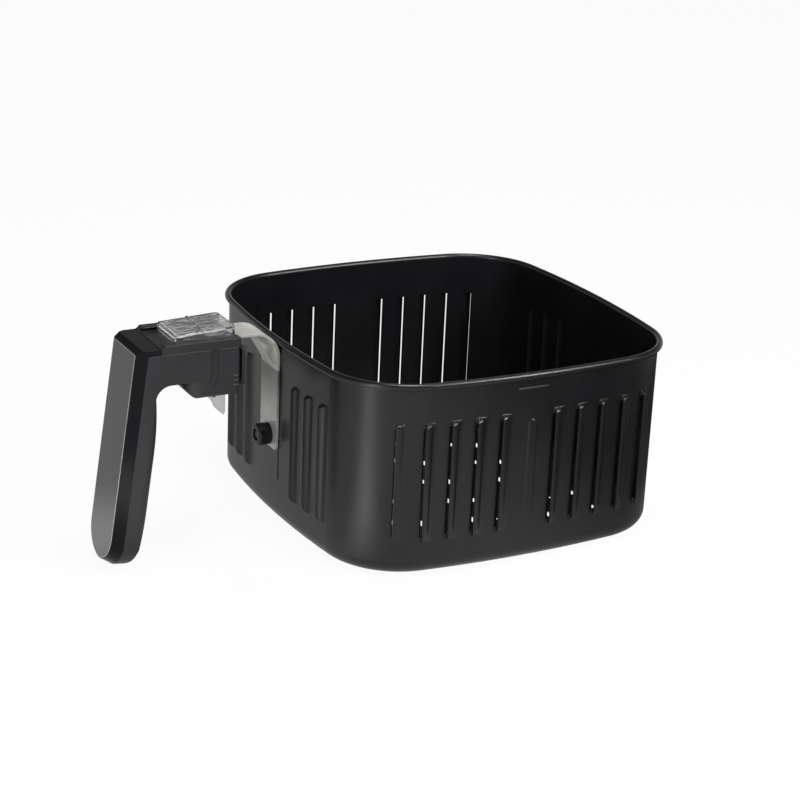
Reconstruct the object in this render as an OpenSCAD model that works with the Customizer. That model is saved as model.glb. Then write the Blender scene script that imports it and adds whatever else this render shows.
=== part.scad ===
// Square lift-out frying basket with a bracket, a housing and an upright grip.
// Millimetres. +Z up, the basket's floor stands on z = 0, the grip points to -Y.

/* [Basket] */
// Half of the basket across X at the middle of a side
basket_half_x = 109; // [80:0.5:140]
// Half of the basket along Y at the middle of a side
basket_half_y = 105; // [80:0.5:140]
// Height of the basket from floor to rim
basket_height = 110.2; // [70:0.1:150]
// Radius of the four upright corners
corner_radius = 45.2; // [20:0.1:70]
// X of a corner's centre, which sets the bow of the two Y sides
corner_x = 60.8; // [30:0.1:90]
// Y of a corner's centre, which sets the bow of the two X sides
corner_y = 56.3; // [30:0.1:90]
// Thickness of the drawn sheet with its coating
sheet = 1.2; // [0.8:0.1:2]
// Outer radius where a wall turns into the floor
floor_radius = 8; // [4:0.5:16]
// Radius of the rolled rim
rim_radius = 1.9; // [1.4:0.1:3]

/* [Louvres] */
// Distance between neighbouring louvres
louvre_pitch = 14.9; // [12:0.1:20]
// Distance between the two middle louvres of a side
louvre_gap = 32.6; // [20:0.1:50]
// Louvres on each half of the two X sides
louvres_x = 5; // [1:1:6]
// Louvres on each half of the two Y sides
louvres_y = 3; // [1:1:5]
// Height where a louvre's mouth begins
louvre_low = 22.8; // [15:0.1:40]
// Height where a louvre's mouth ends
louvre_high = 84.6; // [60:0.1:100]
// How far a hood's lip stands off the wall
louvre_rise = 2.5; // [2:0.1:4]
// Width of a hood from its lip to where it meets the wall
louvre_width = 7; // [5:0.1:10]
// Distance of the lip from the louvre's centre line
louvre_lip = 3; // [2:0.1:5]
// Radius of a hood's domed ends
louvre_end = 3; // [2.5:0.1:5]
// Thickness of a hood
hood_sheet = 0.9; // [0.6:0.1:1.2]
// Height of the blind rib in the middle of an X side
rib_rise = 0.5; // [0.3:0.1:1]
// Height of the blind rib's lower end
rib_low = 26.5; // [15:0.5:40]
// Height of the blind rib's upper end
rib_high = 84; // [60:0.5:95]
// Distance of the fill line on the +X side below the rim
fill_line_drop = 9.2; // [6:0.1:30]

/* [Floor slots] */
// Width of a floor slot
slot_width = 4.6; // [3:0.1:8]
// Length of a floor slot between its end centres
slot_run = 16; // [6:0.5:30]
// Distance between neighbouring slots along X
slot_step_x = 32; // [24:0.5:40]
// Distance between neighbouring rows of slots along Y
slot_step_y = 15; // [10:0.5:25]
// Rows of slots to each side of the middle row
slot_rows = 5; // [1:1:6]

/* [Bracket] */
// Width of the steel strap
strap_width = 22; // [16:0.5:36]
// Thickness of the steel strap
strap = 1.4; // [1.2:0.1:3]
// Height of the strap's lower end
strap_low = 43.5; // [20:0.5:60]
// Height of the strap's level run above the rim, to its top face
plate_rise = 4; // [3.5:0.1:10]
// Inner radius of the strap's bend
bend_radius = 14; // [10:0.1:18]
// Y of the hidden end of the level run
plate_end = -157; // [-170:0.5:-150]
// How far the strap's flat seat stands off the wall
seat_rise = 0.2; // [0.1:0.1:1.5]
// Half width of the pressed dart that stiffens the bend
dart_half = 8; // [4:0.1:9]
// Height of the dart, from the strap's face to the level run
dart_height = 21.3; // [14:0.1:26]
// Lean of the dart's face from upright, in degrees
dart_lean = 30; // [20:1:45]

/* [Bumper] */
// Radius of the rubber bumper
bumper_radius = 6.3; // [5:0.1:9]
// Length of the bumper from the strap
bumper_length = 7.7; // [6:0.1:14]
// Height of the bumper's axis
bumper_z = 50.6; // [45:0.1:70]
// Radius of the rivet's shank
rivet_radius = 1.6; // [1:0.1:3]

/* [Housing] */
// Half of the housing's width
arm_half = 20; // [15:0.5:26]
// Y of the housing's end that faces the basket
boss_end = -132.5; // [-136:0.1:-128]
// Y of the boss's front
boss_front = -164.2; // [-170:0.1:-155]
// Height of the boss from its underside to the seam
boss_height = 27.8; // [20:0.1:36]
// Radius of the boss's front corners, seen from the side and from below
boss_radius = 10; // [5:0.5:10]
// Height of the arm from its underside to the seam
arm_height = 17.4; // [12:0.1:24]
// Thickness of the cover under the steel run
cover_floor = 1.4; // [1:0.1:3]
// Radius of the arch between arm and grip
arch_radius = 9; // [5:0.5:15]
// Y of the upright face behind the grip's top
grip_back = -181.5; // [-186:0.1:-176]
// Wall thickness of the mouldings
wall = 2.6; // [2:0.1:4]
// Height of the cover's side rails above its deck
rail_rise = 1.6; // [1.4:0.1:4]
// Y of the cover's front edge
cover_front = -178; // [-182:0.1:-172]
// Y of the rails' front ends
rail_front = -177.5; // [-181:0.1:-172]

/* [Grip] */
// Lean of the grip from upright, in degrees
grip_tilt = 7.6; // [0:0.1:15]
// Y of the grip's face at its reference height
face_y = -192.5; // [-200:0.1:-185]
// Distance of the grip's reference point below the seam
face_drop = 6.4; // [0:0.1:12]
// Distance down the face to the centre of the grip's round end
round_end = 97.4; // [80:0.1:120]
// Depth of the glossy bezel
bezel_depth = 6; // [4:0.1:9]
// Half width of the bezel at its face
bezel_half = 16.9; // [13:0.1:19]
// Half width of the metal inlay
inlay_half = 16.2; // [12:0.1:18]
// Thickness of the metal inlay
inlay_sheet = 1.3; // [0.6:0.1:2]
// Depth of the grip at its thickest point
grip_depth = 18.4; // [14:0.1:26]
// Radius of the grip's gently curved back
back_radius = 250; // [120:5:500]
// Distance down the face to the grip's thickest point
thick_at = 65; // [40:1:90]
// Radius of the grip's rounded back edges
edge_radius = 6; // [3:0.5:8]
// Radius of the grip's lower back corner, seen from the side
heel_radius = 9; // [4:0.5:12]
// Distance of the bezel's top face below the deck
bezel_drop = 0.4; // [0:0.1:2]

/* [Guard] */
// Half of the clear guard's width
guard_half = 13.3; // [10:0.1:16]
// Y of the guard's front end
guard_front = -168.3; // [-175:0.1:-160]
// Y of the guard's end that faces the basket
guard_back = -132; // [-134:0.1:-128]
// Height of the guard's top above the deck at its front
guard_low_rise = 4.6; // [3:0.1:8]
// Height of the guard's top above the deck at the other end
guard_high_rise = 6.3; // [3:0.1:10]
// Wall thickness of the guard
guard_wall = 1.5; // [1:0.1:2.5]
// Y of the guard's finger bar
finger_bar_y = -151; // [-160:0.5:-140]
// Height of the finger bar above the guard
finger_bar_rise = 0.6; // [0.3:0.1:3]

/* [Button] */
// Y of the button's centre
button_y = -141.5; // [-146:0.1:-138]
// Radius of the button's round ends
button_radius = 6.5; // [4:0.1:9]
// Straight length of the button across X
button_run = 4; // [0:0.5:10]
// Mean radius of the button's spring
spring_radius = 3.2; // [2:0.1:5]
// Radius of the spring's wire
spring_wire = 0.4; // [0.3:0.05:0.8]
// Turns of the button's spring
spring_turns = 4; // [2:1:8]

/* [Latch] */
// Y of the latch's pivot
pivot_y = -137.5; // [-142:0.1:-134]
// Distance of the latch's pivot below the seam
pivot_drop = 14.4; // [10:0.1:20]
// Radius of the pivot pin
pin_radius = 1.5; // [1:0.1:2.5]
// Outer half width of the latch
latch_half = 6.8; // [4:0.1:9]
// Thickness of the latch's steel
latch_sheet = 1.6; // [1:0.1:2.5]
// Distance of the hook's tip below the pivot
hook_drop = 29; // [20:0.5:36]
// Radius of the eye around the pin
eye_radius = 2.7; // [2.2:0.1:4]
// Reach of the hook towards the grip
hook_reach = 5.5; // [5:0.1:12]
// Rise of the hook's sloping face
hook_rise = 9.1; // [5:0.1:12]

/* [Hidden] */
$fn = 64;
round_fine = 96;
eps = 0.02;
gap = 0.3;
run_gap = 0.05;

// Basket outline: the side arcs that are tangent to the corner arcs.
bow_x = (pow(basket_half_x - corner_x, 2) + pow(corner_y, 2) - pow(corner_radius, 2))
    / (2 * (basket_half_x - corner_x - corner_radius));
bow_y = (pow(basket_half_y - corner_y, 2) + pow(corner_x, 2) - pow(corner_radius, 2))
    / (2 * (basket_half_y - corner_y - corner_radius));
side_angle_x = asin(corner_y / (bow_x - corner_radius));
side_angle_y = asin(corner_x / (bow_y - corner_radius));
rim_offset = rim_radius - sheet;
floor_overlap = 3;
set_in = 0.9 * sheet;
hood_curve = (pow(louvre_width / 2, 2) + pow(louvre_rise / 2, 2)) / louvre_rise;
mouth_rise = louvre_rise - hood_sheet;
mouth_throat = 0.3;
rib_half = 3.6;
rib_slope = 1.4;
fill_line_rise = 0.25;
fill_line_width = 0.5;
fill_line_start = -10.3;
fill_line_length = 18.1;
seat_half = 10.5;
seat_low = 26;

// Levels of bracket and handle, from the rim and the seam.
plate_top = basket_height + plate_rise;
plate_low = plate_top - strap;
dart_low = plate_low - dart_height;
seam_z = plate_low - cover_floor;
arm_low = seam_z - arm_height;
boss_low = seam_z - boss_height;
face_z = seam_z - face_drop;
pivot_z = seam_z - pivot_drop;
hook_tip = pivot_z - hook_drop;
deck_skin = 0.6;
deck_z = plate_top + deck_skin;
rail_top = deck_z + rail_rise;
bezel_top = deck_z - bezel_drop;
button_top = deck_z;
guard_low_top = deck_z + guard_low_rise;
guard_high_top = deck_z + guard_high_rise;
fill_line_z = basket_height - fill_line_drop;

// Bracket.
strap_back = -basket_half_y - seat_rise;
strap_face = strap_back - strap;
bend_y = strap_face - bend_radius;
bend_z = plate_top - strap - bend_radius;
dart_sheet = 0.8 * strap;
strap_corner = 3;
stud_radius = 2;
stud_head = 4.5;
stud_head_rise = 1.2;
stud_head_gap = 0.05;
stud_low = 66;
stud_high = bend_z - 10.8;

// Housing.
neck_half = 15;
flange_half = 18;
flange_low = boss_low + 5.3;
flange_high = seam_z - 2.4;
flange_face = -129.3;
groove_depth = 0.9;
groove_y = -149.3;
groove_width = 4.1;
groove_z = seam_z - 13.4;
groove_arc = 10;
mark_rise = 0.5;
mark_length = 3.2;
nose_wall = 7;
end_step = 1.4;
end_step_depth = 2.4;
slot_half = 7.8;
slot_front = -150;
notch_high = boss_low + 6.7;
mark_heights = [boss_low + 5.6, boss_low + 8.2, boss_low + 11];
ear_low = 8.6;
ear_sheet = 2.8;
ear_front = 4;
ear_length = 7;
ear_rise = 3.9;
seat_z = seam_z - 5.4;
seat_sheet = 2;
deck_dish_y = -161;
deck_dish_radius = 40;
deck_dish_depth = 0.7;
rail = 3;
lip_reach = 3.4;
lip_sheet = 0.5;
screw_shank = 1.6;
screw_head = 3;
screw_head_rise = 2;
post_radius = 3.5;
plate_screw_x = 8.5;
plate_screw_y = -153.5;
cover_screw_y = -170;
grip_screw_high = 28;
grip_screw_low = 84;
guard_bottom = deck_z + gap;
foot_reach = 15.2;
foot_sheet = 0.5;
button_travel = 2.2;
button_sheet = 1.9;
button_skirt = 4.8;
button_flange = 1.2;
stem_half = 3;
stem_y = -148;
stem_width = 2;
stem_gap = 0.2;
lever_top = pivot_z + 4.6;
lever_end = -149.5;
lever_drop = 1.5;
arm_bend = 5;
cheek_front = 4.1;
cheek_back = 0.9;
hook_back = 1.6;
web_low = pivot_z - 11;
web_high = pivot_z - 6;
coil_wire = 0.4;
coil_mean = 2.2;
coil_pitch = 1.1;
coil_turns = 6;

// ---------- helpers ----------

// Extrudes a shape drawn in (y, z) across X, centred.
module across_x(width) {
    rotate([90, 0, 90])
        linear_extrude(height = width, center = true)
            children();
}

// Extrudes a shape drawn in (x, z) along +Y from y = 0.
module along_y(depth) {
    rotate([90, 0, 0])
        translate([0, 0, -depth])
            linear_extrude(height = depth)
                children();
}

// Rod along Y that starts at the given point.
module rod_y(y, z, x, radius, length) {
    translate([x, y, z])
        rotate([-90, 0, 0])
            cylinder(r = radius, h = length);
}

// Rod along X, centred on X.
module rod_x(y, z, radius, length) {
    translate([0, y, z])
        rotate([0, 90, 0])
            cylinder(r = radius, h = length, center = true);
}

// Puts its children in the leaning frame of the grip's face.
module on_grip() {
    translate([0, face_y, face_z])
        rotate([-grip_tilt, 0, 0])
            children();
}

// Stadium outline: a slot whose round end points down.
module round_ended(half, top, bottom_centre) {
    translate([-half, bottom_centre])
        square([2 * half, top - bottom_centre]);
    translate([0, bottom_centre])
        circle(r = half, $fn = round_fine);
}

// Stadium outline across X.
module oval(radius, run) {
    translate([-run / 2, -radius])
        square([run, 2 * radius]);
    for (side = [-1, 1])
        translate([side * run / 2, 0])
            circle(r = radius, $fn = round_fine);
}

// ---------- basket ----------

// Section through wall, floor bend and rolled rim; x = 0 is the wall's outer face.
module wall_section() {
    translate([-sheet, floor_radius])
        square([sheet, basket_height - rim_radius - floor_radius]);
    translate([rim_offset, basket_height - rim_radius])
        circle(r = rim_radius, $fn = 32);
    difference() {
        intersection() {
            translate([-floor_radius, floor_radius])
                circle(r = floor_radius, $fn = round_fine);
            translate([-floor_radius, 0])
                square([floor_radius, floor_radius]);
        }
        translate([-floor_radius, floor_radius])
            circle(r = floor_radius - sheet, $fn = round_fine);
    }
    translate([-floor_radius - floor_overlap, 0])
        square([floor_overlap + eps, sheet]);
}

module side_sweep(half, bow, angle) {
    translate([half - bow, 0, 0])
        rotate_extrude(angle = 2 * angle, start = -angle, $fn = 720)
            translate([bow, 0])
                wall_section();
}

module corner_sweep() {
    translate([corner_x, corner_y, 0])
        rotate_extrude(angle = 90 - side_angle_x - side_angle_y, start = side_angle_x, $fn = 144)
            translate([corner_radius, 0])
                wall_section();
}

module four_corners() {
    corner_sweep();
    mirror([0, 1, 0])
        corner_sweep();
    mirror([1, 0, 0])
        corner_sweep();
    rotate([0, 0, 180])
        corner_sweep();
}

module four_sides() {
    for (turn = [0, 180]) {
        rotate([0, 0, turn])
            side_sweep(basket_half_x, bow_x, side_angle_x);
        rotate([0, 0, turn + 90])
            side_sweep(basket_half_y, bow_y, side_angle_y);
    }
}

// Area inside the outline, drawn in by the inset.
module outline_area(inset) {
    polygon([
        [-corner_x, -corner_y], [corner_x, -corner_y],
        [corner_x, corner_y], [-corner_x, corner_y]
    ]);
    for (x = [-1, 1], y = [-1, 1])
        translate([x * corner_x, y * corner_y])
            circle(r = corner_radius - inset, $fn = 144);
    for (side = [0, 1]) {
        mirror([side, 0])
            bow_area(basket_half_x, bow_x, side_angle_x, inset);
        rotate(90)
            mirror([side, 0])
                bow_area(basket_half_y, bow_y, side_angle_y, inset);
    }
}

// Slice of one bowed side out to its arc.
module bow_area(half, bow, angle, inset) {
    intersection() {
        translate([half - bow, 0])
            circle(r = bow - inset, $fn = 720);
        polygon([
            [0, (half - bow) * tan(angle)], [2 * half, -(half + bow) * tan(angle)],
            [2 * half, (half + bow) * tan(angle)], [0, (bow - half) * tan(angle)]
        ]);
    }
}

// Places a child on the side that faces +X, at a distance along it. Past the end of the
// side's arc the child sits on the corner.
module on_side(half, bow, angle, centre_u, centre_v, distance) {
    way = distance < 0 ? -1 : 1;
    if (abs(distance) <= bow * sin(angle))
        translate([half - bow, 0, 0])
            rotate([0, 0, asin(distance / bow)])
                translate([bow, 0, 0])
                    children();
    else
        translate([centre_u, way * centre_v, 0])
            rotate([0, 0, way * asin((abs(distance) - centre_v) / corner_radius)])
                translate([corner_radius, 0, 0])
                    children();
}

// Louvre positions: five pairs on each X side, three on each Y side, whose middle is
// left to the bracket.
module louvre_places() {
    for (way = [-1, 1]) {
        for (turn = [0, 180], k = [0:louvres_x - 1])
            rotate([0, 0, turn])
                on_side(basket_half_x, bow_x, side_angle_x, corner_x, corner_y,
                        way * (louvre_gap / 2 + k * louvre_pitch))
                    translate([0, -louvre_lip, 0])
                        children();
        for (turn = [90, -90], k = [1:louvres_y])
            rotate([0, 0, turn])
                on_side(basket_half_y, bow_y, side_angle_y, corner_y, corner_x,
                        way * (louvre_gap / 2 + k * louvre_pitch))
                    translate([0, -louvre_lip, 0])
                        children();
    }
}

// Plan of a hood with its lip at y = 0: it swells out of the wall and rounds over.
module hood_plan() {
    difference() {
        union() {
            translate([-set_in, 0])
                square([set_in + louvre_rise / 2, louvre_width]);
            intersection() {
                translate([louvre_rise - hood_curve, 0])
                    circle(r = hood_curve, $fn = round_fine);
                square([louvre_rise, louvre_width / 2]);
            }
        }
        translate([hood_curve, louvre_width])
            circle(r = hood_curve, $fn = round_fine);
    }
}

// Pressed hood with domed ends.
module hood() {
    intersection() {
        translate([0, 0, louvre_low - louvre_end])
            linear_extrude(height = louvre_high - louvre_low + 2 * louvre_end)
                hood_plan();
        translate([0, -eps, 0])
            along_y(louvre_width + 2 * eps) {
                translate([-2 * set_in, louvre_low])
                    square([louvre_rise + 2 * set_in + eps, louvre_high - louvre_low]);
                for (end = [louvre_low, louvre_high])
                    translate([louvre_rise - louvre_end, end])
                        circle(r = louvre_end, $fn = round_fine);
            }
    }
}

// The opening under a hood, out to its mouth.
module hood_hollow() {
    translate([0, 0, louvre_low])
        linear_extrude(height = louvre_high - louvre_low)
            polygon([
                [-2 * sheet, -eps], [mouth_rise, -eps], [mouth_rise - mouth_throat, 0.2 * louvre_width],
                [mouth_throat, 0.55 * louvre_width], [-mouth_throat, 0.7 * louvre_width],
                [-2 * sheet, 0.7 * louvre_width]
            ]);
}

// Shallow rib with sloping edges and no opening in the middle of an X side.
module blind_rib() {
    top_half = rib_half - rib_slope;
    translate([basket_half_x - set_in, 0, 0]) {
        translate([0, 0, rib_low + rib_half])
            linear_extrude(height = rib_high - rib_low - 2 * rib_half)
                polygon([
                    [0, -rib_half], [set_in + rib_rise, -top_half],
                    [set_in + rib_rise, top_half], [0, rib_half]
                ]);
        for (end = [rib_low + rib_half, rib_high - rib_half])
            translate([0, 0, end])
                rotate([0, 90, 0])
                    cylinder(r1 = rib_half, r2 = top_half, h = set_in + rib_rise);
    }
}

// Raised line that shows how high the basket may be filled.
module fill_line() {
    translate([basket_half_x - set_in, fill_line_start, fill_line_z - fill_line_width / 2])
        cube([set_in + fill_line_rise, fill_line_length, fill_line_width]);
}

// Staggered rows of floor slots; the middle row leaves the floor's centre whole.
module floor_slots() {
    for (row = [-slot_rows:slot_rows])
        for (i = [-2:row % 2 == 0 ? 1 : 2])
            translate([(i + (row % 2 == 0 ? 0.5 : 0)) * slot_step_x, row * slot_step_y])
                oval(slot_width / 2, slot_run);
}

// Floor plate with its slots.
module slotted_floor() {
    difference() {
        linear_extrude(height = sheet)
            outline_area(floor_radius);
        translate([0, 0, -1])
            linear_extrude(height = sheet + 2)
                floor_slots();
    }
}

// Drawn basket: bowed walls, rolled rim, louvred sides and slotted floor.
module basket_shell() {
    color([0.05, 0.05, 0.055])
        difference() {
            union() {
                four_corners();
                four_sides();
                slotted_floor();
                louvre_places()
                    hood();
                blind_rib();
                rotate([0, 0, 180])
                    blind_rib();
                fill_line();
                translate([-seat_half, strap_back, seat_low])
                    cube([2 * seat_half, seat_rise + set_in, bend_z - seat_low]);
            }
            louvre_places()
                hood_hollow();
            for (z = [stud_low, stud_high])
                rod_y(strap_back - 1, z, 0, stud_radius + eps, seat_rise + sheet + 2);
        }
}

// ---------- bracket ----------

// Strap and level run seen from the side.
module strap_side() {
    translate([strap_face, strap_low])
        square([strap, bend_z - strap_low]);
    translate([plate_end, plate_low])
        square([bend_y - plate_end, strap]);
    translate([bend_y, bend_z])
        intersection() {
            difference() {
                circle(r = bend_radius + strap, $fn = round_fine);
                circle(r = bend_radius, $fn = round_fine);
            }
            square([2 * bend_radius, 2 * bend_radius]);
        }
}

// Leaning block behind the dart's face, drawn in by an inset; its lower edge is straight.
module dart(inset) {
    reach = 3 * bend_radius;
    translate([0, strap_face, dart_low])
        rotate([dart_lean, 0, 0])
            translate([inset - dart_half, inset, -reach / 2])
                cube([2 * (dart_half - inset), reach, 2 * reach]);
}

// Inner corner of the bend seen from the side, out to the outer face of the sheet.
module bend_corner() {
    spare = 2;
    far_end = strap_face - (plate_low - dart_low) * tan(dart_lean) - spare;
    difference() {
        polygon([
            [strap_back, dart_low - spare], [strap_back, plate_top],
            [far_end, plate_top], [far_end, plate_low],
            [strap_face, dart_low - spare]
        ]);
        translate([bend_y, bend_z])
            difference() {
                square(3 * bend_radius);
                circle(r = bend_radius + strap, $fn = round_fine);
            }
    }
}

// Steel strap that is welded to the basket and runs into the handle.
module bracket() {
    color([0.72, 0.71, 0.68])
        difference() {
            union() {
                across_x(strap_width)
                    strap_side();
                intersection() {
                    dart(0);
                    across_x(strap_width)
                        bend_corner();
                }
            }
            dart(dart_sheet);
            translate([0, button_y, plate_low - 1])
                linear_extrude(height = strap + 2)
                    oval(button_radius + gap, button_run);
            for (x = [-1, 1])
                translate([x * plate_screw_x, plate_screw_y, plate_low - 1])
                    cylinder(r = screw_shank + eps, h = strap + 2);
            rod_y(strap_face - 1, bumper_z, 0, rivet_radius + eps, strap + 2);
            for (side = [0, 1])
                mirror([side, 0, 0])
                    translate([strap_width / 2 - strap_corner, strap_face - 1, strap_low + strap_corner])
                        along_y(strap + 2)
                            difference() {
                                translate([0, -2 * strap_corner])
                                    square(2 * strap_corner);
                                circle(r = strap_corner);
                            }
        }
}

// Stud welded to the strap's back, riveted over inside the basket.
module bracket_stud(z) {
    inside = -basket_half_y + sheet + stud_head_gap;
    rod_y(strap_back, z, 0, stud_radius, inside - strap_back + stud_head_rise / 2);
    translate([0, inside, z])
        rotate([-90, 0, 0])
            cylinder(r1 = stud_head, r2 = 0.7 * stud_head, h = stud_head_rise);
}

module bracket_stud_upper() {
    color([0.7, 0.7, 0.7])
        bracket_stud(stud_high);
}

module bracket_stud_lower() {
    color([0.7, 0.7, 0.7])
        bracket_stud(stud_low);
}

// Rubber plug that keeps the basket off the pan's wall: round edge, recess, groove at its foot.
module bumper() {
    edge = 1.4;
    groove_low = 0.8;
    groove_high = 1.7;
    foot_groove = 0.6;
    recess = 3.4;
    color([0.03, 0.03, 0.032])
        translate([0, strap_face, bumper_z])
            rotate([90, 0, 0])
                difference() {
                    rotate_extrude($fn = round_fine)
                        difference() {
                            union() {
                                square([bumper_radius, groove_low]);
                                square([bumper_radius - foot_groove, bumper_length - edge]);
                                translate([0, groove_high])
                                    square([bumper_radius, bumper_length - edge - groove_high]);
                                square([bumper_radius - edge, bumper_length]);
                                translate([bumper_radius - edge, bumper_length - edge])
                                    circle(r = edge, $fn = 32);
                            }
                            translate([0, bumper_length - edge])
                                square([recess, 2 * edge]);
                        }
                    translate([0, 0, -1])
                        cylinder(r = rivet_radius + eps, h = bumper_length);
                }
}

// Steel rivet through the bumper and the strap.
module bumper_rivet() {
    head = 2.8;
    head_rise = 0.8;
    lip = 1.4;
    color([0.7, 0.7, 0.7])
        translate([0, strap_back, bumper_z])
            rotate([90, 0, 0]) {
                cylinder(r = rivet_radius, h = strap + bumper_length - lip + head_rise / 2);
                translate([0, 0, strap + bumper_length - lip])
                    cylinder(r1 = head, r2 = 0.75 * head, h = head_rise);
            }
}

// ---------- housing and grip ----------

// Side view of the boss, whose front lower corner is round.
module boss_side() {
    translate([boss_front + boss_radius, boss_low])
        square([boss_end - boss_front - boss_radius, arm_low - boss_low + 1]);
    intersection() {
        translate([boss_front + boss_radius, boss_low + boss_radius])
            circle(r = boss_radius, $fn = round_fine);
        translate([boss_front, boss_low])
            square([boss_radius + 1, boss_radius]);
    }
    translate([boss_front, boss_low + boss_radius])
        square([boss_radius + 1, arm_low - boss_low - boss_radius + 1]);
}

// Front view of the boss with rounded lower edges.
module boss_front_view() {
    round_edge = 4;
    translate([-arm_half + round_edge, boss_low])
        square([2 * (arm_half - round_edge), round_edge + 1]);
    translate([-arm_half, boss_low + round_edge])
        square([2 * arm_half, arm_low - boss_low - round_edge + 1]);
    for (side = [-1, 1])
        translate([side * (arm_half - round_edge), boss_low + round_edge])
            circle(r = round_edge);
}

// Plan of the boss with round front corners.
module boss_plan() {
    translate([-arm_half, boss_front + boss_radius])
        square([2 * arm_half, boss_end - boss_front - boss_radius]);
    translate([-arm_half + boss_radius, boss_front])
        square([2 * (arm_half - boss_radius), boss_radius + 1]);
    for (side = [-1, 1])
        translate([side * (arm_half - boss_radius), boss_front + boss_radius])
            circle(r = boss_radius, $fn = round_fine);
}

// Side view of the arm with the arch that leads into the grip.
module arm_side() {
    arch_y = grip_back + arch_radius;
    arch_z = arm_low - arch_radius;
    translate([face_y, arm_low])
        square([boss_end - face_y, seam_z - arm_low]);
    difference() {
        translate([face_y, arch_z])
            square([arch_y - face_y, arch_radius + 1]);
        translate([arch_y, arch_z])
            circle(r = arch_radius, $fn = round_fine);
    }
}

// Side view of the grip's rear in the leaning frame: curved back and round heel.
module grip_side(half) {
    overlap = 0.25;
    back_y = grip_depth - back_radius;
    heel_z = -round_end - half + heel_radius;
    heel_y = back_y + sqrt(pow(back_radius - heel_radius, 2) - pow(heel_z + thick_at, 2)) + overlap;
    intersection() {
        translate([back_y, -thick_at])
            circle(r = back_radius, $fn = 720);
        union() {
            translate([0, heel_z])
                square([grip_depth, -heel_z]);
            translate([0, heel_z - heel_radius])
                square([heel_y, 2 * heel_radius]);
            translate([heel_y, heel_z])
                circle(r = heel_radius, $fn = round_fine);
        }
    }
}

// Rear part of the grip in the leaning frame: round end, curved back, rounded edges.
module grip_rear() {
    half = arm_half - eps;
    on_grip()
        intersection() {
            along_y(grip_depth)
                round_ended(half, 0, -round_end);
            across_x(2 * half)
                grip_side(half);
            translate([0, 0, -round_end - half])
                linear_extrude(height = round_end + half) {
                    translate([-half, 0])
                        square([2 * half, grip_depth - edge_radius]);
                    translate([-half + edge_radius, 0])
                        square([2 * (half - edge_radius), grip_depth]);
                    for (side = [-1, 1])
                        translate([side * (half - edge_radius), grip_depth - edge_radius])
                            circle(r = edge_radius);
                }
        }
}

// Shallow curved groove on one side of the boss.
module side_groove() {
    translate([arm_half - groove_depth, 0, 0])
        rotate([90, 0, 90])
            linear_extrude(height = 2 * groove_depth) {
                translate([groove_y, groove_z])
                    square([groove_width, seam_z - groove_z + 1]);
                translate([groove_y - groove_arc, groove_z])
                    intersection() {
                        difference() {
                            circle(r = groove_arc + groove_width);
                            circle(r = groove_arc);
                        }
                        polygon([[0, 0], [2 * groove_arc, 0], [2 * groove_arc, -1.5 * groove_arc]]);
                    }
            }
}

// Three short raised marks beside the boss's end.
module side_marks() {
    mark = 0.9;
    for (z = mark_heights)
        translate([-arm_half - mark_rise, boss_end - end_step - mark_length, z])
            cube([2 * (arm_half + mark_rise), mark_length, mark]);
}

// Hollow inside boss and arm, open towards the cover.
module housing_hollow() {
    inner = arm_half - wall;
    translate([-inner, boss_front + nose_wall, boss_low + wall])
        cube([2 * inner, boss_end - boss_front - nose_wall - wall + 0.6, seam_z - boss_low]);
    translate([-inner, cover_front + wall, arm_low + wall])
        cube([2 * inner, boss_front + nose_wall - cover_front - wall + 1, seam_z - arm_low]);
    on_grip()
        translate([-inner + 1, bezel_depth - 1, -round_end])
            cube([2 * inner - 2, 7, round_end - 10]);
}

// Screw posts, pivot ears and the spring's seat inside the housing.
module housing_inside() {
    inner = arm_half - wall + eps;
    for (side = [-1, 1]) {
        translate([side * plate_screw_x, plate_screw_y, boss_low + wall - eps])
            cylinder(r = post_radius, h = seam_z - boss_low - wall + eps);
        translate([side * (ear_low + ear_sheet / 2) - ear_sheet / 2, pivot_y - ear_front, boss_low + wall - eps])
            cube([ear_sheet, ear_length, pivot_z + ear_rise - boss_low - wall]);
    }
    translate([0, cover_screw_y, arm_low + wall - eps])
        cylinder(r = post_radius, h = seam_z - arm_low - wall + eps);
    translate([-inner, button_y - 3.5, seat_z - seat_sheet])
        cube([2 * inner, boss_end - button_y + 3, seat_sheet]);
    on_grip()
        for (s = [grip_screw_high, grip_screw_low])
            rod_y(bezel_depth, -s, 0, post_radius, 8);
}

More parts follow.
